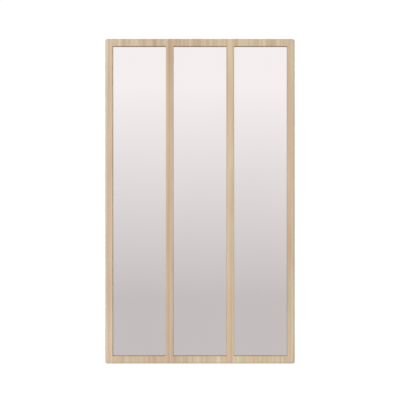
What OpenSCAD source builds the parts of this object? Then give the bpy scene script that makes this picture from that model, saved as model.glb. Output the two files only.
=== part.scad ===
// Rectangular wall mirror: a flat wooden frame with two mullions and three tall panes.
// +Z is up, +X is to the right as seen from the front, and the front faces -Y.
// The origin is the centre of the wall plane, which the four bumpers touch.

/* [Overall] */
// Width of the mirror, across the frame
mirror_w = 700; // [560:1:1000]
// Height of the mirror
mirror_h = 1200; // [800:1:1800]

/* [Frame] */
// Width of each stile, rail and mullion, as seen from the front
member_w = 28; // [26:0.5:50]
// Thickness of the frame board
frame_t = 18; // [16:0.5:25]
// Radius of the frame's outer corners
corner_r = 7; // [6:0.5:10]
// Radius of the round front edge along the outside
edge_r = 5.5; // [1:0.25:5.75]
// Radius of the eased front edge around each opening
arris_r = 3; // [0.8:0.1:4]
// Width of the step behind each opening that takes a pane
rebate_w = 7; // [6:0.5:9]

/* [Dowels] */
// Radius of a dowel
dowel_r = 3; // [2:0.25:3.5]
// Length of a dowel, half of it in each member
dowel_l = 30; // [20:1:34]
// Distance between the two dowels of a joint
dowel_pitch = 14; // [12:0.5:16]
// Radial gap around a dowel
dowel_gap = 0.05; // [0.02:0.01:0.1]
// Spare depth of a dowel's hole in each member
dowel_spare = 1; // [0.5:0.25:2]

/* [Panes] */
// Thickness of the silvered glass
pane_t = 4; // [3:0.25:5]
// Gap between a pane's edge and its rebate
pane_gap = 1; // [0.5:0.25:2]
// Thickness of the foam sheet behind a pane
foam_t = 2; // [1:0.25:3]

/* [Back board] */
// Thickness of the hardboard back
board_t = 3; // [2.5:0.25:5]
// How far the board's edge stays inside the frame's edge
board_inset = 3; // [2.5:0.25:4]

/* [Screws] */
// Radius of a screw's shank
screw_r = 1.6; // [1.25:0.05:2]
// Length of a screw below its head
screw_l = 15; // [12:0.5:16]
// Radius of a screw's head
screw_head_r = 3.4; // [3:0.1:4]
// Height of a screw's head
screw_head_h = 2.1; // [1.8:0.1:2.5]
// Radial gap between a shank and its pilot hole in the frame
pilot_gap = 0.05; // [0.02:0.01:0.1]
// Radial gap between a shank and its hole in the board or the strap
through_gap = 0.3; // [0.2:0.05:0.5]
// Distance of the end screws in a stile from the mirror's top and bottom
end_screw_d = 45; // [40:1:60]
// Number of screws in each stile below the strap hanger
stile_screws = 6; // [3:1:8]
// Number of screws in each mullion
mullion_screws = 3; // [2:1:6]

/* [Hangers] */
// Distance from the mirror's top to the axis on which a ring turns
hanger_d = 150; // [120:1:250]
// Thickness of a strap
strap_t = 1.2; // [0.8:0.1:1.4]
// Width of a strap
strap_w = 12; // [9:0.5:13]
// Distance between the two screws of a strap
strap_pitch = 14; // [10:0.5:20]
// Radius of a ring's wire
wire_r = 1.25; // [1:0.05:1.4]
// Width inside a ring
ring_w = 15; // [14:0.5:16]
// Length of a ring's straight sides
ring_side = 2.5; // [1:0.25:5]
// Radius of a ring's two corners, on the wire's centre line
ring_corner_r = 2.5; // [1.75:0.25:2.75]
// Radial gap between a ring and the knuckle that it turns in
knuckle_gap = 0.08; // [0.04:0.01:0.1]
// Gap between the end of the curled strap and its plate
curl_gap = 0.4; // [0.2:0.05:0.6]

/* [Bumpers] */
// Height of a bumper, which sets the gap between board and wall
bumper_h = 6; // [5.6:0.1:10]
// Radius of a bumper's base
bumper_r = 6; // [5:0.25:7]
// How much narrower a bumper is at the wall
bumper_taper = 0.8; // [0.2:0.1:1.5]
// Radius of a bumper's rim at the wall
bumper_rim_r = 0.8; // [0.4:0.1:1.5]
// Gap between a bumper and the board's edges
bumper_inset = 7; // [5:0.5:12]

/* [Hidden] */

$fn = 64;

// Colours
oak = "#cfb99d";
silver = "#dcd6d6";
foam_white = "#f2f2ee";
hardboard = "#8a6444";
beech = "#d9b98c";
zinc = "#b9bcc0";
rubber = "#3a3a3c";

// A cut reaches this far past the face that it starts from
over = 1;

// Planes across the depth, from the wall towards the front
board_y = -bumper_h;
frame_y = board_y - board_t;
rebate_d = pane_t + foam_t;
lip_t = frame_t - rebate_d;

// The eased edge is a little less than a quarter round, so it meets both faces at a slight angle.
// Its centre lies this deep in the member, behind the front face and beside the opening.
arris_c = 0.95 * arris_r;

// Openings between the members, and the centres of the mullions
pane_count = 3;
opening_w = (mirror_w - (pane_count + 1) * member_w) / pane_count;
opening_h = mirror_h - 2 * member_w;
opening_pitch = opening_w + member_w;
mullion_x = opening_pitch / 2;

// Solid strip of a stile or rail outside the rebate, where the screws bite
web = member_w - rebate_w;
screw_x = mirror_w / 2 - web / 2;
screw_z = mirror_h / 2 - web / 2;

// Ring and strap, seen from the back, hanging straight down from their axis
wire_x = ring_w / 2 + wire_r;
bow_z = ring_corner_r + ring_side;
ring_end = bow_z + wire_x + wire_r;
knuckle_r = wire_r + knuckle_gap;
axis_y = board_y + strap_t + knuckle_r;
axis_z = mirror_h / 2 - hanger_d;
head_room = 1.5;
first_screw = ring_end + head_room + screw_head_r;
last_screw = first_screw + strap_pitch;
strap_end = last_screw + strap_w / 2;

// Places of the back board's screws, as [x, z]
stile_top = mirror_h / 2 - end_screw_d;
stile_from = axis_z - strap_end - end_screw_d / 2;
stile_step = (stile_from + stile_top) / (stile_screws - 1);
stile_zs = [stile_top, for (i = [0 : stile_screws - 1]) stile_from - i * stile_step];
mullion_step = opening_h / mullion_screws;
mullion_zs = [for (i = [0 : mullion_screws - 1]) (i - (mullion_screws - 1) / 2) * mullion_step];
back_screw_places = [
    for (side = [-1, 1], z = stile_zs) [side * screw_x, z],
    for (side = [-1, 1], z = mullion_zs) [side * mullion_x, z],
    for (end = [-1, 1], i = [-1 : 1]) [i * opening_pitch, end * screw_z],
];

// Places of the strap hangers' screws, as [x, z]
strap_screw_places = [
    for (side = [-1, 1], drop = [first_screw, last_screw]) [side * screw_x, axis_z - drop],
];

bumper_x = mirror_w / 2 - board_inset - bumper_inset - bumper_r;
bumper_z = mirror_h / 2 - board_inset - bumper_inset - bumper_r;

// Stands a shape up: its plan becomes X and Z, and its height runs from the plane y to the front
module forward(y) {
    translate([0, y, 0]) rotate([90, 0, 0]) children();
}

// The same, with its height running from the plane y back to the wall
module backward(y) {
    translate([0, y, 0]) rotate([90, 0, 0]) mirror([0, 0, 1]) children();
}

// A block centred in plan, from one height to another
module block(w, h, from, to) {
    translate([-w / 2, -h / 2, from]) cube([w, h, to - from]);
}

// Section of the frame's outer edge, square at the back and round at the front
module edge_section() {
    square([corner_r, frame_t - edge_r]);
    square([corner_r - edge_r, frame_t]);
    intersection() {
        square([corner_r, frame_t]);
        translate([corner_r - edge_r, frame_t - edge_r]) circle(edge_r);
    }
}

// The whole frame as one slab, from which each member takes its share
module frame_slab() {
    block(mirror_w - 2 * corner_r, mirror_h - 2 * corner_r, 0, frame_t);
    for (turn = [0 : 3]) {
        across = turn % 2 == 0 ? mirror_w : mirror_h;
        along = turn % 2 == 0 ? mirror_h : mirror_w;
        rotate(90 * turn) translate([across / 2 - corner_r, along / 2 - corner_r, 0]) {
            rotate_extrude(angle = 90) edge_section();
            rotate([90, 0, 0]) linear_extrude(along - 2 * corner_r) edge_section();
        }
    }
}

// Cut along two facing sides of an opening: it eases a side's front edge, or runs straight past it
module arris_section(span, low_eased, high_eased) {
    difference() {
        translate([-span / 2 - arris_c, 0]) square([span + 2 * arris_c, arris_c + over]);
        if (low_eased) translate([-span / 2 - arris_c, 0]) circle(arris_r);
        if (high_eased) translate([span / 2 + arris_c, 0]) circle(arris_r);
    }
}

// What the openings take from a member: the eased front edges, with mitres, and the rebates.
// A member that ends at the stiles, or at the rails, isn't eased along these.
module opening_cuts(at_stiles, at_rails) {
    extra = 2 * arris_c;
    for (i = [-1 : 1]) translate([i * opening_pitch, 0, 0]) {
        translate([0, 0, frame_t - arris_c]) intersection() {
            rotate([90, 0, 0]) linear_extrude(opening_h + extra, center = true)
                arris_section(opening_w, at_stiles || i > -1, at_stiles || i < 1);
            rotate([90, 0, 90]) linear_extrude(opening_w + extra, center = true)
                arris_section(opening_h, at_rails, at_rails);
        }
        block(opening_w + 2 * rebate_w, opening_h + 2 * rebate_w, -over, rebate_d);
    }
}

// Rods at the dowels' places, used for the dowels and for their holes
module corner_rods(r, l) {
    for (side = [-1, 1], end = [-1, 1], row = [-0.5, 0.5])
        translate([
            side * (mirror_w / 2 - member_w),
            end * (mirror_h / 2 - member_w / 2) + row * dowel_pitch,
            rebate_d + lip_t / 2,
        ])
            rotate([0, 90, 0]) cylinder(h = l, r = r, center = true);
}

module mullion_rods(r, l) {
    for (side = [-1, 1], end = [-1, 1], row = [-0.5, 0.5])
        translate([side * mullion_x + row * dowel_pitch, end * opening_h / 2, rebate_d + lip_t / 2])
            rotate([90, 0, 0]) cylinder(h = l, r = r, center = true);
}

module corner_dowels() {
    color(beech) forward(frame_y) corner_rods(dowel_r, dowel_l);
}

module mullion_dowels() {
    color(beech) forward(frame_y) mullion_rods(dowel_r, dowel_l);
}

// Holes for the dowels and for the screws that come in from the back
module joinery_holes() {
    corner_rods(dowel_r + dowel_gap, dowel_l + 2 * dowel_spare);
    mullion_rods(dowel_r + dowel_gap, dowel_l + 2 * dowel_spare);
    for (place = concat(back_screw_places, strap_screw_places))
        translate([place[0], place[1], -over])
            cylinder(h = screw_l - board_t + 2 * over, r = screw_r + pilot_gap);
}

// One member: its share of the slab, w by h around [x, z], with all its cuts
module member(x, z, w, h, at_stiles = true, at_rails = true) {
    color(oak) forward(frame_y) difference() {
        intersection() {
            frame_slab();
            translate([x, z, 0]) block(w, h, -over, frame_t + over);
        }
        opening_cuts(at_stiles, at_rails);
        joinery_holes();
    }
}

module stile(side) {
    member(side * (mirror_w - member_w + over) / 2, 0, member_w + over, mirror_h + 2 * over);
}

module rail(end) {
    member(0, end * (mirror_h - member_w + over) / 2, mirror_w - 2 * member_w, member_w + over,
        at_stiles = false);
}

module mullion(side) {
    member(side * mullion_x, 0, member_w, opening_h, at_rails = false);
}

// A sheet that lies in the rebate of opening i and stands on its lower edge
module rebate_sheet(i, from, thickness) {
    w = opening_w + 2 * (rebate_w - pane_gap);
    h = opening_h + 2 * (rebate_w - pane_gap);
    forward(frame_y) translate([i * opening_pitch, -pane_gap, 0]) block(w, h, from, from + thickness);
}

module pane(i) {
    color(silver) rebate_sheet(i, foam_t, pane_t);
}

module foam(i) {
    color(foam_white) rebate_sheet(i, 0, foam_t);
}

module back_board() {
    color(hardboard) forward(board_y) difference() {
        block(mirror_w - 2 * board_inset, mirror_h - 2 * board_inset, 0, board_t);
        for (place = concat(back_screw_places, strap_screw_places))
            translate([place[0], place[1], -over])
                cylinder(h = board_t + 2 * over, r = screw_r + through_gap);
    }
}

// A pan-head screw whose head starts at height 0 and whose shank goes down
module screw() {
    round_r = screw_head_h / 2;
    tip_l = 2 * screw_r;
    slot_w = 0.9;
    slot_l = screw_head_r;
    difference() {
        union() {
            rotate_extrude() {
                square([screw_head_r, screw_head_h - round_r]);
                square([screw_head_r - round_r, screw_head_h]);
                translate([screw_head_r - round_r, screw_head_h - round_r]) circle(round_r);
            }
            translate([0, 0, tip_l - screw_l]) cylinder(h = screw_l - tip_l, r = screw_r);
            translate([0, 0, -screw_l]) cylinder(h = tip_l, r1 = 0, r2 = screw_r);
        }
        for (turn = [0, 90]) rotate(turn) block(slot_l, slot_w, screw_head_h / 3, screw_head_h + over);
    }
}

module back_screws() {
    color(zinc) backward(board_y) for (place = back_screw_places)
        translate([place[0], place[1], 0]) screw();
}

module strap_screws() {
    color(zinc) backward(board_y + strap_t) for (place = strap_screw_places)
        translate([place[0], place[1], 0]) screw();
}

// Strap hanger: a plate with two holes, curled at its top into the ring's knuckle
module strap(side) {
    color(zinc) translate([side * screw_x, 0, axis_z]) difference() {
        union() {
            translate([-strap_w / 2, board_y, -last_screw]) cube([strap_w, strap_t, last_screw]);
            translate([0, 0, -last_screw]) backward(board_y) cylinder(h = strap_t, r = strap_w / 2);
            translate([-strap_w / 2, axis_y, 0]) rotate([0, 90, 0])
                cylinder(h = strap_w, r = knuckle_r + strap_t);
        }
        translate([-strap_w / 2 - over, axis_y, 0]) rotate([0, 90, 0])
            cylinder(h = strap_w + 2 * over, r = knuckle_r);
        translate([-strap_w / 2 - over, board_y + strap_t, -knuckle_r - 2 * strap_t])
            cube([strap_w + 2 * over, curl_gap, knuckle_r + 2 * strap_t]);
        for (drop = [first_screw, last_screw]) translate([0, 0, -drop]) backward(board_y - over)
            cylinder(h = strap_t + 2 * over, r = screw_r + through_gap);
    }
}

// D-ring: a straight bar in the knuckle, two corners, two short sides and a half-round bow
module ring(side) {
    color(zinc) translate([side * screw_x, axis_y, axis_z]) {
        translate([ring_corner_r - wire_x, 0, 0]) rotate([0, 90, 0])
            cylinder(h = 2 * (wire_x - ring_corner_r), r = wire_r);
        for (hand = [0, 1]) mirror([hand, 0, 0]) {
            translate([wire_x - ring_corner_r, 0, -ring_corner_r]) rotate([90, 0, 0])
                rotate_extrude(angle = 90) translate([ring_corner_r, 0]) circle(wire_r);
            translate([wire_x, 0, -bow_z]) cylinder(h = ring_side, r = wire_r);
        }
        translate([0, 0, -bow_z]) rotate([90, 180, 0])
            rotate_extrude(angle = 180) translate([wire_x, 0]) circle(wire_r);
    }
}

// Rubber bumper, glued to the board, whose flat end lies in the wall plane
module bumper(side, end) {
    top_r = bumper_r - bumper_taper;
    color(rubber) translate([side * bumper_x, 0, end * bumper_z]) backward(board_y) rotate_extrude()
        union() {
            polygon([
                [0, 0], [bumper_r, 0],
                [top_r, bumper_h - bumper_rim_r],
                [top_r - bumper_rim_r, bumper_h], [0, bumper_h],
            ]);
            intersection() {
                square([bumper_r, bumper_h]);
                translate([top_r - bumper_rim_r, bumper_h - bumper_rim_r]) circle(bumper_rim_r);
            }
        }
}

stile(-1);  // left_stile
stile(1);  // right_stile
rail(1);  // top_rail
rail(-1);  // bottom_rail
mullion(-1);  // left_mullion
mullion(1);  // right_mullion
corner_dowels();
mullion_dowels();
pane(-1);  // left_pane
pane(0);  // centre_pane
pane(1);  // right_pane
foam(-1);  // left_foam
foam(0);  // centre_foam
foam(1);  // right_foam
back_board();
back_screws();
strap(-1);  // left_strap
strap(1);  // right_strap
ring(-1);  // left_ring
ring(1);  // right_ring
strap_screws();
bumper(-1, 1);  // bumper_top_left
bumper(1, 1);  // bumper_top_right
bumper(-1, -1);  // bumper_bottom_left
bumper(1, -1);  // bumper_bottom_right
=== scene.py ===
import math

import bmesh
import bpy
from bpy.props import FloatProperty, FloatVectorProperty, IntProperty, PointerProperty
from bpy.types import Operator, Panel, PropertyGroup
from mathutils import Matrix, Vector


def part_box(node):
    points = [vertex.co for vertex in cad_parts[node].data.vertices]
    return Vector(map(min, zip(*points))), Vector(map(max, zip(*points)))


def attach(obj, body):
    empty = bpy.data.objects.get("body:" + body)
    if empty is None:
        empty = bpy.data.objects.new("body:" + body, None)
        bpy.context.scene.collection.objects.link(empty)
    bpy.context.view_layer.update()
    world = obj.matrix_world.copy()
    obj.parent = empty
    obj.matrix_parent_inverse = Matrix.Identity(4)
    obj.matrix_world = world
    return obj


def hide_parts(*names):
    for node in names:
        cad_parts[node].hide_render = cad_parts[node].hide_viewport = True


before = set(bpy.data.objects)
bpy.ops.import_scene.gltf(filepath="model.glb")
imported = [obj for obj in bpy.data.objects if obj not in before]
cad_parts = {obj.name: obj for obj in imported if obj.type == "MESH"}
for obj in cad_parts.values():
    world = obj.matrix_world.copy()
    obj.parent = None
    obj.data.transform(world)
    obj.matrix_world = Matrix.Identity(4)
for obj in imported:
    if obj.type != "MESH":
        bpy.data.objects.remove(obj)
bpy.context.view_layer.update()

bl_info = {
    "name": "Three-pane wall mirror",
    "version": (1, 0, 0),
    "blender": (4, 5, 0),
    "location": "View3D > Sidebar > Wall mirror",
    "description": "Dresses a framed wall mirror: foil, panes, back, screws and hangers",
    "category": "Object",
}

MM = 0.001
SIDES = ("left", "right")
PANES = ("left", "centre", "right")
MEMBERS = ("left_stile", "right_stile", "top_rail", "bottom_rail", "left_mullion", "right_mullion")
BUMPERS = [f"bumper_{end}_{side}" for end in ("top", "bottom") for side in SIDES]

# Planes and edges of the frame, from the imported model
FRONT_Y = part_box("left_stile")[0].y
GLASS_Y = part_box("left_pane")[0].y
HALF_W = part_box("right_stile")[1].x
HALF_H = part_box("right_stile")[1].z
STILE_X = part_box("right_stile")[0].x
RAIL_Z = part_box("top_rail")[0].z
MULLION_IN, MULLION_OUT = (corner.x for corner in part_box("right_mullion"))


def linear(hex_colour):
    """An sRGB colour as #RRGGBB, turned to the linear values that the shaders take."""
    parts = [int(hex_colour[i : i + 2], 16) / 255 for i in (1, 3, 5)]
    return (*(c / 12.92 if c <= 0.04045 else ((c + 0.055) / 1.055) ** 2.4 for c in parts), 1.0)


def colour(name, hex_colour, description):
    return FloatVectorProperty(
        name=name, description=description, subtype="COLOR", size=4, min=0, max=1,
        default=linear(hex_colour),
    )


def length(name, mm, description, least=0):
    return FloatProperty(
        name=name, description=description, default=mm * MM, min=least * MM, unit="LENGTH",
        precision=5,
    )


def share(name, value, description, most=1.0):
    return FloatProperty(
        name=name, description=description, default=value, min=0, max=most, subtype="FACTOR"
    )


class FoilLook(PropertyGroup):
    """Colours and scale of the printed oak and of the board under it"""

    pale: colour("Pale print", "#F2E8D0", "Lightest wood of the printed oak")
    dark: colour("Streaks", "#B19671", "Darkest streaks of the printed oak")
    pore: colour("Pores", "#8F7150", "Short dark pores along the grain")
    tint_1: colour("Tint at the left", "#FFFCFE", "Tint of the board at its left edge")
    tint_2: colour("Tint at the left mullion", "#F2E9E8", "Tint of the board at the left mullion")
    tint_3: colour("Tint at the right mullion", "#FAF7F1", "Tint at the right mullion")
    tint_4: colour("Tint at the right", "#F6F2EE", "Tint of the board at its right edge")
    rose: colour("Rose patches", "#FFF4F0", "Tint of the warmer patches")
    contrast: share("Contrast", 1.0, "How far pale and dark parts of the print differ", 3.0)
    streak: length("Streak width", 13, "Width of the main streaks across the grain")
    run: length("Streak length", 4000, "Length of the main streaks along the grain")
    board: colour("Fibreboard", "#B0906A", "Bare fibreboard at the back and in the rebates")
    # Painted shade: this darker tone stands in for the shade on the inner sides of the openings
    recess_shade: colour("Painted recess shade", "#B8A892", "Painted shade on the dull inner sides of the openings")


class GlassLook(PropertyGroup):
    """Colours of the silvered panes and width of their seamed edges"""

    silver: colour("Silver", "#F7F3F3", "Colour in which the silvered glass reflects")
    veil: colour("Veil", "#F4F0F0", "Colour of the faint clouds in the silvering")
    edge: colour("Ground edge", "#A9C2B6", "Ground edge of the glass, seen as pale green")
    paint: colour("Back paint", "#7F8784", "Protective paint over the silver")
    seam: length("Seamed edge", 0.5, "Width of the bevel ground on each edge of a pane")


class BackLook(PropertyGroup):
    """Colours of the pieces at the back and inside"""

    board: colour("Hardboard", "#83603F", "Smooth face of the hardboard")
    fibre: colour("Dark fibres", "#5C3F27", "Dark fibres in the hardboard")
    foam: colour("Foam", "#F1F0EA", "Foam sheet between a pane and the back")
    foam_edge: length("Foam edge", 0.7, "Radius of the foam sheet's soft cut edge")
    rubber: colour("Rubber", "#2E2E30", "Moulded rubber of the wall bumpers")
    beech: colour("Beech", "#DDBE92", "Turned beech of the dowels")
    fleck: colour("Beech flecks", "#B68C5C", "Ray flecks in the beech")


class ScrewLook(PropertyGroup):
    """Sizes of the pan-head screws, and the zinc on all the metal"""

    zinc: colour("Zinc", "#C9CCCF", "Zinc plating on screws, straps and rings")
    head_r: length("Head radius", 3.4, "Radius of the pan head")
    head_h: length("Head height", 2.1, "Height of the pan head")
    thread_r: length("Thread radius", 1.6, "Radius over the thread")
    core_r: length("Core radius", 1.15, "Radius of the shank under the thread")
    shank: length("Shank length", 15, "Length from the head's underside to the tip")
    pitch: length("Thread pitch", 1.4, "Distance between the turns of the thread")
    recess: length("Recess", 3.9, "Length of each arm pair of the cross recess")
    seed: IntProperty(name="Seed", description="Fixes how far each screw was turned", default=7)


class DowelLook(PropertyGroup):
    """Flutes and bevels of the dowels, whose length and radius come from the model"""

    flutes: IntProperty(name="Flutes", description="Grooves round a dowel", default=14, min=6)
    flute_d: length("Flute depth", 0.22, "Depth of the pressed grooves")
    chamfer: length("Chamfer", 1.2, "Length of the bevel at each end")
    seed: IntProperty(name="Seed", description="Fixes how far each dowel was turned", default=3)


class StageLook(PropertyGroup):
    """Floor, light and camera"""

    floor: colour("Floor", "#E9E9E7", "Plain pale floor")
    glow: share("Floor glow", 0.42, "Light that takes the floor to white for the camera")
    drop: length("Floor depth", 1350, "How far the floor lies below the middle of the mirror")
    reach: length("Floor reach", 4000, "Half the width of the floor")
    sky: colour("Upper light", "#FEFCFC", "What the mirror sees above the horizon")
    ground: colour("Lower light", "#CBC8C8", "What the mirror sees below the horizon")
    fade_high: length(
        "Fade top", 418, "Height on the panes above which they mirror the upper light"
    )
    fade_low: length(
        "Fade bottom", -365, "Height on the panes below which they mirror the lower light",
        least=-1000,
    )
    gap: share("Gaps", 0.4, "Brightness of the gaps between the pale screens round the object")
    spacing: share("Spacing", 0.55, "Step from screen to screen, as a part of how far off they are")
    fill: share("Fill", 0.25, "Even light from all round")
    key: share("Key", 0.75, "Light that the key lamp gives the frame's front")
    distance: length("Camera distance", 5000, "Distance from the camera to the frame's front")
    eye_z: length("Camera height", 4.4, "How far the camera stands above the middle of the mirror")
    view_w: length("View width", 1477.5, "Width that the camera sees at the frame's front")


LOOKS = {
    "foil": FoilLook, "glass": GlassLook, "back": BackLook,
    "screw": ScrewLook, "dowel": DowelLook, "stage": StageLook,
}


class WallMirrorLook(PropertyGroup):
    """All that a user can change"""

    foil: PointerProperty(type=FoilLook)
    glass: PointerProperty(type=GlassLook)
    back: PointerProperty(type=BackLook)
    screw: PointerProperty(type=ScrewLook)
    dowel: PointerProperty(type=DowelLook)
    stage: PointerProperty(type=StageLook)


def add(tree, kind, feeds=None, **settings):
    """Adds a node with its settings, and feeds its inputs, which are given by name or number."""
    node = tree.nodes.new(kind)
    for name, value in settings.items():
        setattr(node, name, value)
    for name, sources in (feeds or {}).items():
        if isinstance(name, int):
            socket = node.inputs[name]
        else:
            socket = next(s for s in node.inputs if s.name == name and s.enabled)
        for source in sources if isinstance(sources, list) else [sources]:
            feed(tree, socket, source)
    return node


def feed(tree, socket, source):
    """Sets a socket's value, or links it to the node or socket that gives the value."""
    if isinstance(source, bpy.types.Node):
        source = next(s for s in source.outputs if s.enabled)
    if isinstance(source, bpy.types.NodeSocket):
        tree.links.new(source, socket)
    else:
        socket.default_value = source


def new_material(name, **constants):
    """A material with one Principled shader, with its plain values set on its own sockets."""
    material = bpy.data.materials.new(name)
    material.use_nodes = True
    tree = material.node_tree
    tree.nodes.clear()
    shader = add(tree, "ShaderNodeBsdfPrincipled")
    for socket, value in constants.items():
        shader.inputs[socket.replace("_", " ")].default_value = value
    add(tree, "ShaderNodeOutputMaterial", {"Surface": shader})
    return material, tree, shader


def print_noise(tree, place, across, along, axis=2, **settings):
    """Noise drawn out along one axis of place, which is in metres."""
    cells = [1 / across] * 3
    cells[axis] = 1 / along
    stretched = add(tree, "ShaderNodeVectorMath", {0: place, 1: tuple(cells)}, operation="MULTIPLY")
    return add(tree, "ShaderNodeTexNoise", {"Vector": stretched, "Scale": 1.0, **settings})


def oak_decor_foil(look):
    """Oak decor foil on fibreboard, printed and satin lacquered: straight pale grain, warm streaks.

    The print runs up the whole board and wraps its round edges. It ends on the eased edges of the
    openings, whose inner sides are dull and take a darker tone that is painted shade for the
    recesses. At the back, in the rebates and in the joints there is no foil, and the bare
    fibreboard shows.
    """
    material, tree, shader = new_material("oak_decor_foil", IOR=1.48, Specular_IOR_Level=0.25)
    surface = add(tree, "ShaderNodeTexCoord")
    at = add(tree, "ShaderNodeSeparateXYZ", {0: surface.outputs["Object"]}).outputs
    facing = add(tree, "ShaderNodeSeparateXYZ", {0: surface.outputs["Normal"]}).outputs
    depth = add(tree, "ShaderNodeMath", {0: at["Y"], 1: FRONT_Y}, operation="SUBTRACT")

    across, grain = folded_grain(tree, at, facing, depth)
    tone, lines = print_tone(tree, grain, look)
    wood = add(
        tree, "ShaderNodeMix", {"Factor": tone, "A": look.dark, "B": look.pale}, data_type="RGBA"
    )
    wood = board_tints(tree, wood, across, grain, look)

    # Pores are 0.2 mm wide and are drawn three times as wide, so that they show
    pores = add(
        tree, "ShaderNodeMapRange",
        {
            "Value": print_noise(tree, grain, 0.6 * MM, 9 * MM),
            "From Min": 0.62, "From Max": 0.7, "To Max": 0.4,
        },
    )
    wood = add(
        tree, "ShaderNodeMix", {"Factor": pores, "A": wood, "B": look.pore}, data_type="RGBA"
    )

    # Fibres of the bare board are about 0.3 mm thick and are drawn as 1 mm specks
    speck = add(
        tree, "ShaderNodeTexNoise",
        {"Vector": surface.outputs["Object"], "Scale": 1 / MM, "Detail": 3.0},
    )
    shade = add(tree, "ShaderNodeMapRange", {"Value": speck, "To Min": 0.7, "To Max": 1.3})
    raw = add(tree, "ShaderNodeHueSaturation", {"Color": look.board, "Value": shade})
    bare, shaded_inner_sides = bare_places(tree, at, facing, depth)
    # The inner sides of the openings take a darker colour, which is painted shade of the recesses
    faced = add(
        tree, "ShaderNodeMix", {"Factor": shaded_inner_sides, "A": wood, "B": look.recess_shade}, data_type="RGBA"
    )
    skin = add(tree, "ShaderNodeMix", {"Factor": bare, "A": faced, "B": raw}, data_type="RGBA")
    feed(tree, shader.inputs["Base Color"], skin)

    # Satin lacquer on the print, and no gloss where the board is bare or on the inner sides with
    # painted shade
    satin = add(tree, "ShaderNodeMapRange", {"Value": tone, "To Min": 0.5, "To Max": 0.38})
    dull = add(tree, "ShaderNodeMath", {0: bare, 1: shaded_inner_sides}, operation="MAXIMUM")
    rough = add(tree, "ShaderNodeMix", {"Factor": dull, "A": satin, "B": 0.85})
    feed(tree, shader.inputs["Roughness"], rough)

    # The lacquer follows the pores and the finest lines a little
    relief = add(tree, "ShaderNodeMath", {0: lines, 1: pores}, operation="SUBTRACT")
    bump = add(
        tree, "ShaderNodeBump", {"Strength": 0.25, "Distance": 0.05 * MM, "Height": relief}
    )
    feed(tree, shader.inputs["Normal"], bump)
    return material


def folded_grain(tree, at, facing, depth):
    """Where a point lies across the print, and its place along the wandering grain.

    On a side the print goes on with the depth, as foil does that is folded round the edge. The
    grain wanders sideways by some millimetres on its way up the board.
    """
    across, along = (
        add(
            tree, "ShaderNodeMath", {0: facing[axis], 1: depth, 2: at[axis]},
            operation="MULTIPLY_ADD",
        )
        for axis in "XZ"
    )
    flat = add(tree, "ShaderNodeCombineXYZ", {0: across, 2: along})
    bend_width, bend_run, bend = 90 * MM, 420 * MM, 9 * MM
    wander = print_noise(tree, flat, bend_width, bend_run, Detail=1.0)
    shift = add(
        tree, "ShaderNodeMath", {0: wander, 1: bend, 2: across}, operation="MULTIPLY_ADD"
    )
    return across, add(tree, "ShaderNodeCombineXYZ", {0: shift, 2: along})


def print_tone(tree, grain, look):
    """How pale the print is, between 0 and 1, and its finest lines."""
    # Layers of the print, from slow clouds to fine lines, as width, length and share of the tone
    layers = (
        (3 * look.streak, 0.08 * look.run, 0.2),
        (4 * look.streak, look.run, 0.22),
        (look.streak, look.run, 0.42),
        (0.4 * look.streak, 0.5 * look.run, 0.18),
        (0.14 * look.streak, 0.1 * look.run, 0.08),
    )
    tone = 0.5
    for width, run, part in layers:
        lines = print_noise(tree, grain, width, run, Detail=2.0)
        centred = add(tree, "ShaderNodeMath", {0: lines, 1: 0.5}, operation="SUBTRACT")
        tone = add(
            tree, "ShaderNodeMath", {0: centred, 1: part * look.contrast * 2, 2: tone},
            operation="MULTIPLY_ADD",
        )
    return tone, lines


def board_tints(tree, wood, across, grain, look):
    """The print under the board's slow tint from side to side and its warmer patches."""
    spot = add(
        tree, "ShaderNodeMapRange", {"Value": across, "From Min": -HALF_W, "From Max": HALF_W}
    )
    tint = add(tree, "ShaderNodeValToRGB", {0: spot})
    tint.color_ramp.interpolation = "EASE"
    stops = tint.color_ramp.elements
    stile, mullion = (HALF_W + STILE_X) / 2, (MULLION_IN + MULLION_OUT) / 2
    for x, shade in ((-mullion, look.tint_2), (mullion, look.tint_3)):
        stops.new((HALF_W + x) / (2 * HALF_W)).color = shade
    for stop, x, shade in ((stops[0], -stile, look.tint_1), (stops[-1], stile, look.tint_4)):
        stop.position, stop.color = (HALF_W + x) / (2 * HALF_W), shade
    wood = add(
        tree, "ShaderNodeMix", {"Factor": 1.0, "A": wood, "B": tint},
        data_type="RGBA", blend_type="MULTIPLY",
    )
    patch_width, patch_run = 30 * MM, 260 * MM
    patch = add(
        tree, "ShaderNodeMapRange",
        {
            "Value": print_noise(tree, grain, patch_width, patch_run),
            "From Min": 0.4, "From Max": 0.65,
        },
    )
    return add(
        tree, "ShaderNodeMix", {"Factor": patch, "A": wood, "B": look.rose},
        data_type="RGBA", blend_type="MULTIPLY",
    )


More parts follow.
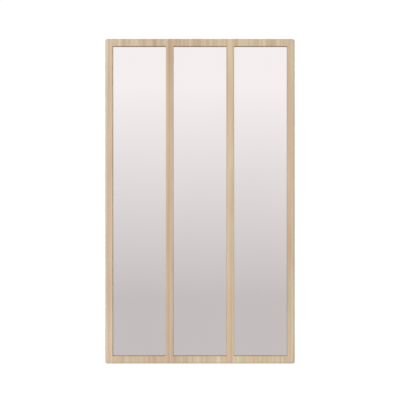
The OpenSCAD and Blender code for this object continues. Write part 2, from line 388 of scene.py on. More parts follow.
def bare_places(tree, at, facing, depth):
    """Where a frame member shows bare fibreboard, and where its inner sides get painted shade."""
    size = {axis: add(tree, "ShaderNodeMath", {0: at[axis]}, operation="ABSOLUTE") for axis in "XZ"}
    turn = {
        axis: add(tree, "ShaderNodeMath", {0: facing[axis]}, operation="ABSOLUTE") for axis in "XZ"
    }
    near, rim = 0.3 * MM, 8 * MM
    # It is bare at the back, in the rebates behind the glass's front, on the stiles' joint faces
    # and on the rails' joint faces at the mullions
    places = (
        ((facing["Y"], "GREATER_THAN", 0.5),),
        (
            (depth, "GREATER_THAN", GLASS_Y - FRONT_Y + near),
            (size["X"], "LESS_THAN", HALF_W - rim),
            (size["Z"], "LESS_THAN", HALF_H - rim),
        ),
        (
            (turn["X"], "GREATER_THAN", 0.9),
            (size["X"], "COMPARE", STILE_X),
            (size["Z"], "GREATER_THAN", RAIL_Z),
        ),
        (
            (turn["Z"], "GREATER_THAN", 0.9),
            (size["Z"], "COMPARE", RAIL_Z),
            (size["X"], "GREATER_THAN", MULLION_IN),
            (size["X"], "LESS_THAN", MULLION_OUT),
        ),
    )
    bare = 0.0
    for tests in places:
        holds = 1.0
        for value, operation, limit in tests:
            passed = add(tree, "ShaderNodeMath", {0: value, 1: limit, 2: near}, operation=operation)
            holds = add(tree, "ShaderNodeMath", {0: passed, 1: holds}, operation="MULTIPLY")
        bare = add(tree, "ShaderNodeMath", {0: bare, 1: holds}, operation="MAXIMUM")

    # Painted shade: a darker tone stands in for the shade in the openings' recesses. It starts on
    # the eased edge and covers all sides inside the outer rim
    shaded_inner_sides = add(
        tree, "ShaderNodeMapRange", {"Value": depth, "From Min": 1.6 * MM, "From Max": 2.6 * MM}
    )
    for axis, half in (("X", HALF_W), ("Z", HALF_H)):
        inside = add(
            tree, "ShaderNodeMath", {0: size[axis], 1: half - rim}, operation="LESS_THAN"
        )
        shaded_inner_sides = add(tree, "ShaderNodeMath", {0: shaded_inner_sides, 1: inside}, operation="MULTIPLY")
    return bare, shaded_inner_sides


def silvered_glass(look):
    """Float glass silvered behind, polished: a clear, faintly warm reflection."""
    material, tree, shader = new_material("silvered_float_glass", Metallic=1.0)
    place = add(tree, "ShaderNodeTexCoord").outputs["Object"]
    cloud = print_noise(tree, place, 120 * MM, 260 * MM, Detail=1.0)
    silver = add(
        tree, "ShaderNodeMix", {"Factor": cloud, "A": look.silver, "B": look.veil},
        data_type="RGBA",
    )
    feed(tree, shader.inputs["Base Color"], silver)
    # Faint wiping marks of the last cleaning, some centimetres wide
    wipes = add(
        tree, "ShaderNodeMapRange",
        {
            "Value": print_noise(tree, place, 18 * MM, 240 * MM, Detail=3.0),
            "From Min": 0.45, "From Max": 0.75, "To Min": 0.008, "To Max": 0.03,
        },
    )
    feed(tree, shader.inputs["Roughness"], wipes)
    return material


def speckled(
    name, base, fleck, grain, stretch=1.0, axis=2, rough=(0.5, 0.7), relief=0.0, clouds=1.0,
    **constants,
):
    """A surface of one stuff whose specks, grain metres wide, vary its colour and roughness."""
    material, tree, shader = new_material(name, **constants)
    place = add(tree, "ShaderNodeTexCoord").outputs["Object"]
    speck = print_noise(tree, place, grain, grain * stretch, axis, Detail=3.0, Roughness=0.6)
    cloud = 40 * grain
    drift = print_noise(tree, place, cloud, cloud * stretch, axis)
    mixed = add(
        tree, "ShaderNodeMath", {0: drift, 1: clouds, 2: speck}, operation="MULTIPLY_ADD"
    )
    # Each noise keeps near 0.525, so most of their sum lies in this range
    middle, swing = 0.525 * (1 + clouds), 0.27
    amount = add(
        tree, "ShaderNodeMapRange",
        {"Value": mixed, "From Min": middle - swing, "From Max": middle + swing},
    )
    skin = add(tree, "ShaderNodeMix", {"Factor": amount, "A": base, "B": fleck}, data_type="RGBA")
    feed(tree, shader.inputs["Base Color"], skin)
    gloss = add(
        tree, "ShaderNodeMapRange", {"Value": speck, "To Min": rough[0], "To Max": rough[1]}
    )
    feed(tree, shader.inputs["Roughness"], gloss)
    if relief:
        bump = add(
            tree, "ShaderNodeBump", {"Strength": 0.4, "Distance": relief, "Height": speck}
        )
        feed(tree, shader.inputs["Normal"], bump)
    return material


def toned(tone, factor):
    """A colour made lighter or darker."""
    return (*(min(1.0, c * factor) for c in tone[:3]), 1.0)


def zinc_plate(name, look, grain, stretch=1.0, bloom=0.74, rough=(0.26, 0.42)):
    """Zinc-plated steel, bright passivated: cool grey, half glossy, with a faint cloudy bloom."""
    return speckled(
        name, look.zinc, toned(look.zinc, bloom), grain, stretch, rough=rough, relief=0.01 * MM,
        Metallic=1.0,
    )


def ride_as(piece, body, slot, *nodes):
    """The piece moves with a body and stands for CAD nodes, which it hides; the slot is not used.
    """
    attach(piece, body)
    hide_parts(*nodes)
    return piece


def linked(name, mesh, *materials):
    """An object with this mesh and these materials, at the origin."""
    piece = bpy.data.objects.new(name, mesh)
    bpy.context.scene.collection.objects.link(piece)
    for material in materials:
        mesh.materials.append(material)
    return piece


def cover(nodes, material):
    """Puts one material on CAD nodes that keep their shape."""
    for name in nodes:
        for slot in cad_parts[name].material_slots:
            slot.material = material


def solids_of(node):
    """Lowest and highest corner of each separate solid in a CAD node."""
    mesh = bmesh.new()
    mesh.from_mesh(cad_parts[node].data)
    bmesh.ops.remove_doubles(mesh, verts=mesh.verts, dist=0.001 * MM)
    found, seen = [], set()
    for start in mesh.verts:
        if start in seen:
            continue
        seen.add(start)
        group, todo = [], [start]
        while todo:
            vert = todo.pop()
            group.append(vert.co)
            for edge in vert.link_edges:
                other = edge.other_vert(vert)
                if other not in seen:
                    seen.add(other)
                    todo.append(other)
        low = Vector(min(co[i] for co in group) for i in range(3))
        high = Vector(max(co[i] for co in group) for i in range(3))
        found.append((low, high))
    mesh.free()
    return found


def sheet_block(low, high, edge, segments):
    """A block between two corners with its edges taken off, as an open bmesh."""
    mesh = bmesh.new()
    bmesh.ops.create_cube(mesh, size=1.0)
    for vert in mesh.verts:
        for i in range(3):
            vert.co[i] = low[i] if vert.co[i] < 0 else high[i]
    bmesh.ops.bevel(
        mesh, geom=list(mesh.edges), offset=edge, segments=segments, profile=0.5,
        affect="EDGES", clamp_overlap=True,
    )
    bmesh.ops.recalc_face_normals(mesh, faces=mesh.faces)
    return mesh


def shade_mesh(mesh, smooth_below):
    """Shades a mesh smooth over edges up to this angle in degrees, and sharp over the others."""
    mesh.shade_smooth()
    mesh.set_sharp_from_angle(angle=math.radians(smooth_below))


def finished_mesh(name, mesh, smooth_below):
    """Turns a bmesh into a shaded mesh."""
    data = bpy.data.meshes.new(name)
    mesh.to_mesh(data)
    mesh.free()
    shade_mesh(data, smooth_below)
    return data


def repeated(name, tree, places, sizes, material, smooth_below=35):
    """Runs a node tree on points at these places and keeps its result as a plain mesh."""
    points = bpy.data.meshes.new(name + "_places")
    points.from_pydata([tuple(p) for p in places], [], [])
    piece = linked(name, points)
    modifier = piece.modifiers.new("repeat", "NODES")
    modifier.node_group = tree
    sockets = {s.name: s.identifier for s in tree.interface.items_tree if s.in_out == "INPUT"}
    for label, value in {**sizes, "Finish": material}.items():
        modifier[sockets[label]] = value
    graph = bpy.context.evaluated_depsgraph_get()
    solid = bpy.data.meshes.new_from_object(piece.evaluated_get(graph), depsgraph=graph)
    piece.modifiers.clear()
    piece.data = solid
    bpy.data.meshes.remove(points)
    if not solid.polygons:
        raise RuntimeError(f"{name}: the node tree made no faces")
    solid.name = name
    shade_mesh(solid, smooth_below)
    return piece


def new_tree(name, lengths, whole=()):
    """A geometry node tree with named inputs for its sizes, and its group input's sockets."""
    tree = bpy.data.node_groups.new(name, "GeometryNodeTree")
    make = tree.interface.new_socket
    make("Places", in_out="INPUT", socket_type="NodeSocketGeometry")
    for label in lengths:
        make(label, in_out="INPUT", socket_type="NodeSocketFloat").subtype = "DISTANCE"
    for label in whole:
        make(label, in_out="INPUT", socket_type="NodeSocketInt")
    make("Axis", in_out="INPUT", socket_type="NodeSocketVector")
    make("Finish", in_out="INPUT", socket_type="NodeSocketMaterial")
    make("Solids", in_out="OUTPUT", socket_type="NodeSocketGeometry")
    return tree, add(tree, "NodeGroupInput").outputs


def place_copies(tree, given, solid, turn):
    """Ends a tree: copies of the solid at the places, each along the axis, turned about it at
    random by up to turn radians."""
    spin = add(tree, "FunctionNodeRandomValue", {2: 0.0, 3: turn, "Seed": given["Seed"]})
    facing = add(tree, "FunctionNodeAlignRotationToVector", {"Vector": given["Axis"]}, axis="Z")
    about = add(
        tree, "FunctionNodeAxisAngleToRotation", {"Axis": (0.0, 0.0, 1.0), "Angle": spin.outputs[1]}
    )
    rotation = add(
        tree, "FunctionNodeRotateRotation", {"Rotation": facing, "Rotate By": about},
        rotation_space="LOCAL",
    )
    copies = add(
        tree, "GeometryNodeInstanceOnPoints",
        {"Points": given["Places"], "Instance": solid, "Rotation": rotation},
    )
    real = add(tree, "GeometryNodeRealizeInstances", {"Geometry": copies})
    coated = add(tree, "GeometryNodeSetMaterial", {"Geometry": real, "Material": given["Finish"]})
    add(tree, "NodeGroupOutput", {"Solids": coated})


def unit_rod(tree, sides, rows):
    """A closed rod 1 high, its points' x, y, angle and height from 0 to 1, ready to be shaped."""
    rod = add(
        tree, "GeometryNodeMeshCylinder",
        {"Vertices": sides, "Side Segments": rows, "Radius": 1.0, "Depth": 1.0},
        fill_type="NGON",
    )
    at = add(tree, "ShaderNodeSeparateXYZ", {0: add(tree, "GeometryNodeInputPosition")}).outputs
    rise = add(tree, "ShaderNodeMath", {0: at["Z"], 1: 0.5}, operation="ADD")
    angle = add(tree, "ShaderNodeMath", {0: at["Y"], 1: at["X"]}, operation="ARCTAN2")
    return rod, at, rise, angle


def shape_rod(tree, rod, at, radius, height):
    """Gives each point of a unit rod its radius and its height."""
    across = [
        add(tree, "ShaderNodeMath", {0: at[axis], 1: radius}, operation="MULTIPLY") for axis in "XY"
    ]
    place = add(tree, "ShaderNodeCombineXYZ", {0: across[0], 1: across[1], 2: height})
    return add(tree, "GeometryNodeSetPosition", {"Geometry": rod, "Position": place})


def pan_head_screws():
    """A tree that sets a pan-head screw with a cross recess at each place, head along the axis."""
    tree, given = new_tree(
        "pan_head_screws",
        ("Head radius", "Head height", "Thread radius", "Core radius", "Shank length",
         "Thread pitch", "Recess length"),
        ("Thread rows", "Seed"),
    )
    solids = [screw_head(tree, given), screw_shank(tree, given)]
    whole = add(tree, "GeometryNodeMeshBoolean", {1: solids}, operation="UNION")

    # Cross recess: two crossed slots, as height of floor and rim in parts of the head's height.
    # One is a little deeper, as two floors in one plane would leave a torn mesh.
    slots = [
        recess_slot(tree, given, "X", "Y", foot=0.35, rim=1.2),
        recess_slot(tree, given, "Y", "X", foot=0.3, rim=1.25),
    ]
    cut = add(
        tree, "GeometryNodeMeshBoolean", {0: whole, 1: slots}, operation="DIFFERENCE"
    )
    place_copies(tree, given, cut, turn=2 * math.pi)
    return tree


def screw_head(tree, given):
    """A head that is upright at its rim and domed above, as 1 - rise^3 under a cube root."""
    rod, at, rise, _ = unit_rod(tree, sides=28, rows=7)
    # The dome ends a little short of its middle, which leaves a small flat on top
    flat_from = 0.97
    most = add(tree, "ShaderNodeMath", {0: rise, 1: flat_from}, operation="MULTIPLY")
    cubed = add(tree, "ShaderNodeMath", {0: most, 1: 3.0}, operation="POWER")
    left = add(tree, "ShaderNodeMath", {0: 1.0, 1: cubed}, operation="SUBTRACT")
    dome = add(tree, "ShaderNodeMath", {0: left, 1: 1 / 3}, operation="POWER")
    radius = add(tree, "ShaderNodeMath", {0: dome, 1: given["Head radius"]}, operation="MULTIPLY")
    height = add(tree, "ShaderNodeMath", {0: rise, 1: given["Head height"]}, operation="MULTIPLY")
    return shape_rod(tree, rod, at, radius, height)


def screw_shank(tree, given):
    """A shank whose thread climbs by one pitch for each turn, with a tapered tip."""
    rod, at, rise, angle = unit_rod(tree, sides=14, rows=given["Thread rows"])
    # It reaches a little into the head, so that the two join
    root = 0.4 * MM
    full = add(tree, "ShaderNodeMath", {0: given["Shank length"], 1: root}, operation="ADD")
    lift = add(tree, "ShaderNodeMath", {0: rise, 1: full}, operation="MULTIPLY")
    height = add(
        tree, "ShaderNodeMath", {0: lift, 1: given["Shank length"]}, operation="SUBTRACT"
    )
    climbs = add(tree, "ShaderNodeMath", {0: lift, 1: given["Thread pitch"]}, operation="DIVIDE")
    turns = add(tree, "ShaderNodeMath", {0: angle, 1: 2 * math.pi}, operation="DIVIDE")
    phase = add(tree, "ShaderNodeMath", {0: climbs, 1: turns}, operation="SUBTRACT")
    crest = add(tree, "ShaderNodeMath", {0: phase, 1: 0.5}, operation="PINGPONG")
    crest = add(tree, "ShaderNodeMath", {0: crest, 1: 2.0}, operation="MULTIPLY")
    # A power above 1 makes the crest narrower than the root
    sharpness, taper, point = 1.6, 3 * MM, 0.08
    sharp = add(tree, "ShaderNodeMath", {0: crest, 1: sharpness}, operation="POWER")
    radius = add(
        tree, "ShaderNodeMapRange",
        {"Value": sharp, "To Min": given["Core radius"], "To Max": given["Thread radius"]},
    )
    tip = add(tree, "ShaderNodeMapRange", {"Value": lift, "From Max": taper, "To Min": point})
    radius = add(tree, "ShaderNodeMath", {0: radius, 1: tip}, operation="MULTIPLY")
    return shape_rod(tree, rod, at, radius, height)


def recess_slot(tree, given, long_axis, short_axis, foot, rim):
    """A block that cuts one slot of the cross recess: it narrows to half towards its floor."""
    slot_width = 0.95 * MM
    cube = add(tree, "GeometryNodeMeshCube", {"Size": (1.0, 1.0, 1.0)})
    at = add(tree, "ShaderNodeSeparateXYZ", {0: add(tree, "GeometryNodeInputPosition")}).outputs
    flare = add(
        tree, "ShaderNodeMapRange",
        {"Value": at["Z"], "From Min": -0.5, "From Max": 0.5, "To Min": 0.5},
    )
    place = {}
    for axis, size in ((long_axis, given["Recess length"]), (short_axis, slot_width)):
        reach = add(tree, "ShaderNodeMath", {0: at[axis], 1: size}, operation="MULTIPLY")
        place[axis] = add(tree, "ShaderNodeMath", {0: reach, 1: flare}, operation="MULTIPLY")
    level = add(
        tree, "ShaderNodeMapRange",
        {"Value": at["Z"], "From Min": -0.5, "From Max": 0.5, "To Min": foot, "To Max": rim},
    )
    place["Z"] = add(
        tree, "ShaderNodeMath", {0: level, 1: given["Head height"]}, operation="MULTIPLY"
    )
    spot = add(tree, "ShaderNodeCombineXYZ", place)
    return add(tree, "GeometryNodeSetPosition", {"Geometry": cube, "Position": spot})


def fluted_dowels():
    """A tree that lays a fluted dowel, bevelled at both ends, along the axis at each place."""
    tree, given = new_tree(
        "fluted_dowels",
        ("Radius", "Length", "Flute depth", "Chamfer"),
        ("Flutes", "Points round", "Seed"),
    )
    rod, at, rise, angle = unit_rod(tree, sides=given["Points round"], rows=3)
    wave = add(tree, "ShaderNodeMath", {0: angle, 1: given["Flutes"]}, operation="MULTIPLY")
    wave = add(tree, "ShaderNodeMath", {0: wave}, operation="COSINE")
    groove = add(
        tree, "ShaderNodeMapRange",
        {"Value": wave, "From Min": -1.0, "To Min": 0.0, "To Max": given["Flute depth"]},
    )
    radius = add(tree, "ShaderNodeMath", {0: given["Radius"], 1: groove}, operation="SUBTRACT")

    # The rod has three rows: the end rows are the bevels, and the middle one is the length between
    end_radius = 0.78
    from_end = add(tree, "ShaderNodeMath", {0: rise, 1: 0.5}, operation="PINGPONG")
    inner = add(tree, "ShaderNodeMath", {0: from_end, 1: 0.2}, operation="GREATER_THAN")
    bevel = add(
        tree, "ShaderNodeMapRange", {"Value": inner, "To Min": end_radius, "To Max": 1.0}
    )
    radius = add(tree, "ShaderNodeMath", {0: radius, 1: bevel}, operation="MULTIPLY")
    half = add(tree, "ShaderNodeMath", {0: given["Length"], 1: 0.5}, operation="MULTIPLY")
    short = add(tree, "ShaderNodeMath", {0: inner, 1: given["Chamfer"]}, operation="MULTIPLY")
    reach = add(tree, "ShaderNodeMath", {0: half, 1: short}, operation="SUBTRACT")
    end = add(tree, "ShaderNodeMath", {0: at["Z"]}, operation="SIGN")
    height = add(tree, "ShaderNodeMath", {0: end, 1: reach}, operation="MULTIPLY")
    rod = shape_rod(tree, rod, at, radius, height)
    place_copies(tree, given, rod, turn=1.0)
    return tree


class WALL_MIRROR_OT_frame(Operator):
    """Cover the stiles, rails and mullions with oak decor foil"""

    bl_idname = "wall_mirror.frame"
    bl_label = "Frame members"

    def execute(self, context):
        cover(MEMBERS, oak_decor_foil(context.scene.wall_mirror.foil))
        return {"FINISHED"}


class WALL_MIRROR_OT_panes(Operator):
    """Make the silvered panes with their ground edges and painted backs"""

    bl_idname = "wall_mirror.panes"
    bl_label = "Mirror panes"

    def execute(self, context):
        look = context.scene.wall_mirror.glass
        front = silvered_glass(look)
        # Ground glass scatters: pale green, dull, with a grit of about 0.3 mm
        edge = speckled(
            "ground_glass_edge", look.edge, toned(look.edge, 0.8), 0.3 * MM, rough=(0.3, 0.45),
            relief=0.02 * MM, IOR=1.52,
        )
        # Sprayed paint over the silver: dull grey with an orange peel of about 2 mm
        paint = speckled(
            "mirror_back_paint", look.paint, toned(look.paint, 1.12), 2 * MM, rough=(0.42, 0.55),
            relief=0.03 * MM, IOR=1.5,
        )
        for pane in PANES:
            node = pane + "_pane"
            mesh = sheet_block(*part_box(node), edge=look.seam, segments=1)
            # Slots: 0 is the silvered front, 1 the ground and seamed edges, 2 the painted back
            for face in mesh.faces:
                if abs(face.normal.y) < 0.9:
                    face.material_index = 1
                elif face.normal.y > 0:
                    face.material_index = 2
            data = finished_mesh(node, mesh, smooth_below=20)
            piece = linked(node + "_silvered", data, front, edge, paint)
            ride_as(piece, "root", "silvered_glass", node)
        return {"FINISHED"}


class WALL_MIRROR_OT_foam(Operator):
    """Make the soft foam sheets behind the panes"""

    bl_idname = "wall_mirror.foam"
    bl_label = "Foam sheets"

    def execute(self, context):
        look = context.scene.wall_mirror.back
        # Closed polyethylene cells of about 1.5 mm give soft dimples and no gloss
        cells = speckled(
            "polyethylene_foam", look.foam, toned(look.foam, 0.86), 1.5 * MM, rough=(0.8, 0.95),
            relief=0.3 * MM, IOR=1.5,
        )
        for pane in PANES:
            node = pane + "_foam"
            mesh = sheet_block(*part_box(node), edge=look.foam_edge, segments=3)
            piece = linked(node + "_sheet", finished_mesh(node, mesh, smooth_below=50), cells)
            ride_as(piece, "root", "foam", node)
        return {"FINISHED"}


class WALL_MIRROR_OT_back(Operator):
    """Give the back board the smooth brown face of hardboard"""

    bl_idname = "wall_mirror.back"
    bl_label = "Back board"

    def execute(self, context):
        look = context.scene.wall_mirror.back
        # Pressed wood fibre: fine dark fibres of about 1 mm in a brown, half-glossy face
        board = speckled(
            "smooth_hardboard", look.board, look.fibre, 1.1 * MM, stretch=2.5, rough=(0.38, 0.6),
            relief=0.03 * MM, clouds=0.3, IOR=1.5,
        )
        cover(["back_board"], board)
        return {"FINISHED"}


class WALL_MIRROR_OT_screws(Operator):
    """Make the screws of the back board and of the strap hangers"""

    bl_idname = "wall_mirror.screws"
    bl_label = "Screws"

    def execute(self, context):
        look = context.scene.wall_mirror.screw
        # Cold-formed steel, plated in a drum: knocks and clouds of about half a millimetre
        plated = zinc_plate("zinc_plated_screw", look, 0.5 * MM)
        tree = pan_head_screws()
        rows_per_turn = 5
        sizes = {
            "Head radius": look.head_r, "Head height": look.head_h,
            "Thread radius": look.thread_r, "Core radius": look.core_r,
            "Shank length": look.shank, "Thread pitch": look.pitch,
            "Recess length": look.recess,
            "Thread rows": round(look.shank / look.pitch * rows_per_turn), "Seed": look.seed,
            "Axis": (0.0, 1.0, 0.0),
        }
        for node in ("back_screws", "strap_screws"):
            places = [
                ((low.x + high.x) / 2, high.y - look.head_h, (low.z + high.z) / 2)
                for low, high in solids_of(node)
            ]
            piece = repeated("threaded_" + node, tree, places, sizes, plated)
            ride_as(piece, "root", "zinc_steel", node)
        return {"FINISHED"}


class WALL_MIRROR_OT_dowels(Operator):
    """Make the fluted dowels in the joints of the frame"""

    bl_idname = "wall_mirror.dowels"
    bl_label = "Dowels"

    def execute(self, context):
        look, back = context.scene.wall_mirror.dowel, context.scene.wall_mirror.back
        tree = fluted_dowels()
        points_per_flute = 4
        for node, axis in (("corner_dowels", 0), ("mullion_dowels", 2)):
            # Turned beech: pale, with ray flecks about 0.4 mm wide along the rod
            wood = speckled(
                "turned_beech_" + "xyz"[axis], back.beech, back.fleck, 0.4 * MM, stretch=8,
                axis=axis, rough=(0.55, 0.75), relief=0.02 * MM, IOR=1.5,
            )
            solids = solids_of(node)
            low, high = solids[0]
            size = high - low
            direction = [0.0, 0.0, 0.0]
            direction[axis] = 1.0
            sizes = {
                "Radius": min(size) / 2, "Length": max(size), "Flute depth": look.flute_d,
                "Chamfer": look.chamfer, "Flutes": look.flutes,
                "Points round": points_per_flute * look.flutes, "Seed": look.seed,
                "Axis": tuple(direction),
            }
            places = [(low + high) / 2 for low, high in solids]
            piece = repeated("fluted_" + node, tree, places, sizes, wood, smooth_below=50)
            ride_as(piece, "root", "beech", node)
        return {"FINISHED"}


class WALL_MIRROR_OT_hangers(Operator):
    """Plate the strap hangers and the D-rings with zinc"""

    bl_idname = "wall_mirror.hangers"
    bl_label = "Strap hangers"

    def execute(self, context):
        look = context.scene.wall_mirror.screw
        # Rolled strip keeps lines along its length, about 0.3 mm apart
        strip = zinc_plate("zinc_plated_strip", look, 0.3 * MM, stretch=20)
        cover([side + "_strap" for side in SIDES], strip)
        # Drawn wire is smoother: its plating is even, with a soft bloom about a millimetre wide
        wire = zinc_plate(
            "zinc_plated_wire", look, 0.9 * MM, stretch=2, bloom=0.84, rough=(0.22, 0.32)
        )
        cover([side + "_ring" for side in SIDES], wire)
        return {"FINISHED"}


class WALL_MIRROR_OT_bumpers(Operator):
    """Give the wall bumpers their moulded rubber"""

    bl_idname = "wall_mirror.bumpers"
    bl_label = "Wall bumpers"

    def execute(self, context):
        look = context.scene.wall_mirror.back
        # Moulded rubber: nearly black, dull, with a fine spark-eroded grain and a little dust
        rubber = speckled(
            "moulded_rubber", look.rubber, toned(look.rubber, 1.9), 0.4 * MM, rough=(0.6, 0.8),
            relief=0.04 * MM, IOR=1.52,
        )
        cover(BUMPERS, rubber)
        return {"FINISHED"}


def studio_world(look):
    """White to the camera, even light on the object, and a soft vertical fade in the mirror."""
    world = bpy.data.worlds.new("studio")
    bpy.context.scene.world = world
    world.use_nodes = True
    tree = world.node_tree
    tree.nodes.clear()
    ray = add(tree, "ShaderNodeLightPath").outputs
    towards = add(tree, "ShaderNodeTexCoord").outputs["Generated"]
    rise = add(tree, "ShaderNodeSeparateXYZ", {0: towards}).outputs["Z"]
    # A camera ray that meets the panes at a height z goes on upwards by z over its whole length
    low, high = (z / math.hypot(z, look.distance) for z in (look.fade_low, look.fade_high))
    fade = add(tree, "ShaderNodeMapRange", {"Value": rise, "From Min": low, "From Max": high})
    seen = add(
        tree, "ShaderNodeMix", {"Factor": fade, "A": look.ground, "B": look.sky}, data_type="RGBA"
    )
    screens = slanted_screens(tree, towards, look)
    seen = add(
        tree, "ShaderNodeMix", {"Factor": 1.0, "A": seen, "B": screens},
        data_type="RGBA", blend_type="MULTIPLY",
    )
    mirrored = add(
        tree, "ShaderNodeMath",
        {0: ray["Is Glossy Ray"], 1: ray["Is Transmission Ray"]}, operation="MAXIMUM",
    )
    even = (look.fill, look.fill, look.fill, 1.0)
    lit = add(
        tree, "ShaderNodeMix", {"Factor": mirrored, "A": even, "B": seen}, data_type="RGBA"
    )
    # A little over white, so that no pixel of the empty background falls below it
    white = (1.03, 1.03, 1.03, 1.0)
    shown = add(
        tree, "ShaderNodeMix", {"Factor": ray["Is Camera Ray"], "A": lit, "B": white},
        data_type="RGBA",
    )
    light = add(tree, "ShaderNodeBackground", {"Color": shown, "Strength": 1.0})
    add(tree, "ShaderNodeOutputWorld", {"Surface": light})


def slanted_screens(tree, towards, look):
    """Brightness of pale screens that stand slanted round the object, with grey gaps between.

    They show in the panes and in the zinc from the side. The light in front stays even, wider
    than the camera's view of the panes.
    """
    slant = add(
        tree, "ShaderNodeVectorMath", {0: towards, 1: (1.0, 0.0, 0.7)}, operation="DOT_PRODUCT"
    ).outputs["Value"]
    # A slow noise sways the screens, so that no two gaps are alike
    sway = add(tree, "ShaderNodeTexNoise", {"Vector": towards, "Scale": 1.6, "Detail": 0.0})
    phase = add(
        tree, "ShaderNodeMath", {0: sway, 1: 0.5, 2: slant}, operation="MULTIPLY_ADD"
    )
    wave = add(
        tree, "ShaderNodeMath", {0: phase, 1: 2 * math.pi / look.spacing}, operation="MULTIPLY"
    )
    wave = add(tree, "ShaderNodeMath", {0: wave}, operation="SINE")
    shade = add(
        tree, "ShaderNodeMapRange", {"Value": wave, "From Min": -1.0, "To Min": look.gap}
    )
    straight_on = add(tree, "ShaderNodeSeparateXYZ", {0: towards}).outputs["Y"]
    aside = add(
        tree, "ShaderNodeMapRange",
        {"Value": straight_on, "From Min": -0.98, "From Max": -0.87},
        interpolation_type="SMOOTHSTEP",
    )
    return add(tree, "ShaderNodeMix", {"Factor": aside, "A": 1.0, "B": shade})


def studio_floor(look):
    """Plain pale floor: it goes to white for the camera where nothing shades it."""
    material, tree, shader = new_material("studio_floor", Roughness=0.9)
    place = add(tree, "ShaderNodeTexCoord").outputs["Object"]
    mottle = add(tree, "ShaderNodeTexNoise", {"Vector": place, "Scale": 3.0})
    pale = add(
        tree, "ShaderNodeMix", {"Factor": mottle, "A": look.floor, "B": toned(look.floor, 0.97)},
        data_type="RGBA",
    )
    feed(tree, shader.inputs["Base Color"], pale)
    ray = add(tree, "ShaderNodeLightPath").outputs
    lift = add(
        tree, "ShaderNodeEmission", {"Color": (1.0, 1.0, 1.0, 1.0), "Strength": look.glow}
    )
    bright = add(tree, "ShaderNodeAddShader", {0: shader, 1: lift})

    # The mirror sees the floor in the colour of the light below the horizon, and the other pieces
    # get the even light from it
    even = (look.fill, look.fill, look.fill, 1.0)
    below = add(
        tree, "ShaderNodeMix", {"Factor": ray["Is Glossy Ray"], "A": even, "B": look.ground},
        data_type="RGBA",
    )
    under = add(tree, "ShaderNodeEmission", {"Color": below, "Strength": 1.0})

    # In the mirror the floor has no edge: it fades into the light behind it
    flat = add(
        tree, "ShaderNodeVectorMath", {0: place, 1: (1.0, 1.0, 0.0)}, operation="MULTIPLY"
    )
    away = add(tree, "ShaderNodeVectorMath", {0: flat}, operation="LENGTH").outputs["Value"]
    gone = add(
        tree, "ShaderNodeMapRange",
        {"Value": away, "From Min": 0.5 * look.reach, "From Max": look.reach},
        interpolation_type="SMOOTHSTEP",
    )
    gone = add(
        tree, "ShaderNodeMath", {0: gone, 1: ray["Is Glossy Ray"]}, operation="MULTIPLY"
    )
    clear = add(tree, "ShaderNodeBsdfTransparent")
    under = add(tree, "ShaderNodeMixShader", {0: gone, 1: under, 2: clear})
    seen = add(tree, "ShaderNodeMixShader", {0: ray["Is Camera Ray"], 1: under, 2: bright})

    # The floor has an upper side only, so that it doesn't hide the object from below
    lower_side = add(tree, "ShaderNodeNewGeometry").outputs["Backfacing"]
    seen = add(tree, "ShaderNodeMixShader", {0: lower_side, 1: seen, 2: clear})
    output = next(n for n in tree.nodes if n.type == "OUTPUT_MATERIAL")
    feed(tree, output.inputs["Surface"], seen)
    return material


def sun(name, direction, strength, spread, mirrored):
    """A soft lamp that shines from this direction with the same light everywhere.

    Where it isn't mirrored, it lights the object but leaves no bright disc in the panes.
    """
    lamp = bpy.data.lights.new(name, "SUN")
    lamp.energy = strength
    lamp.angle = math.radians(spread)
    piece = bpy.data.objects.new(name, lamp)
    piece.visible_glossy = mirrored
    piece.rotation_euler = direction.to_track_quat("Z", "Y").to_euler()
    bpy.context.scene.collection.objects.link(piece)


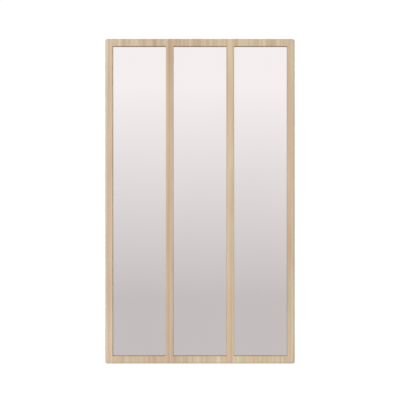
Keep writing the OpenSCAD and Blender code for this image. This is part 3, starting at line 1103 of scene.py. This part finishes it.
class WALL_MIRROR_OT_stage(Operator):
    """Set up the pale floor, the soft studio light and the camera"""

    bl_idname = "wall_mirror.stage"
    bl_label = "Stage"

    def execute(self, context):
        look = context.scene.wall_mirror.stage
        mesh = bmesh.new()
        bmesh.ops.create_grid(mesh, x_segments=4, y_segments=4, size=look.reach)
        for vert in mesh.verts:
            vert.co.z = -look.drop
        data = bpy.data.meshes.new("floor")
        mesh.to_mesh(data)
        mesh.free()
        linked("floor", data, studio_floor(look))
        studio_world(look)

        # A lamp of strength pi gives a white surface that faces it a brightness of 1
        full = look.key * math.pi
        key_from = Vector((-0.3, -0.9, 0.2)).normalized()
        sun("key", key_from, full / -key_from.y, spread=25, mirrored=False)
        back_from = Vector((0.45, 0.75, 0.35)).normalized()
        sun("back_key", back_from, full / back_from.y, spread=50, mirrored=True)

        camera = bpy.data.cameras.new("camera")
        camera.sensor_width = 36.0
        camera.lens = camera.sensor_width * look.distance / look.view_w
        eye = bpy.data.objects.new("camera", camera)
        eye.location = (0.0, FRONT_Y - look.distance, look.eye_z)
        eye.rotation_euler = (math.radians(90), 0, 0)
        context.scene.collection.objects.link(eye)
        context.scene.camera = eye
        context.scene.view_settings.view_transform = "Standard"
        return {"FINISHED"}


STEPS = (
    WALL_MIRROR_OT_stage, WALL_MIRROR_OT_frame, WALL_MIRROR_OT_panes, WALL_MIRROR_OT_foam,
    WALL_MIRROR_OT_back, WALL_MIRROR_OT_screws, WALL_MIRROR_OT_dowels, WALL_MIRROR_OT_hangers,
    WALL_MIRROR_OT_bumpers,
)


class VIEW3D_PT_wall_mirror(Panel):
    bl_label = "Wall mirror"
    bl_space_type = "VIEW_3D"
    bl_region_type = "UI"
    bl_category = "Wall mirror"

    def draw(self, context):
        for step in STEPS:
            self.layout.operator(step.bl_idname)
        for name, kind in LOOKS.items():
            box = self.layout.box()
            box.label(text=name.capitalize())
            look = getattr(context.scene.wall_mirror, name)
            for prop in kind.__annotations__:
                box.prop(look, prop)


CLASSES = (*LOOKS.values(), WallMirrorLook, *STEPS, VIEW3D_PT_wall_mirror)


def register():
    for kind in CLASSES:
        bpy.utils.register_class(kind)
    bpy.types.Scene.wall_mirror = PointerProperty(type=WallMirrorLook)


def unregister():
    del bpy.types.Scene.wall_mirror
    for kind in reversed(CLASSES):
        bpy.utils.unregister_class(kind)


def main():
    register()
    for step in STEPS:
        family, action = step.bl_idname.split(".")
        getattr(getattr(bpy.ops, family), action)()


if __name__ == "__main__":
    main()
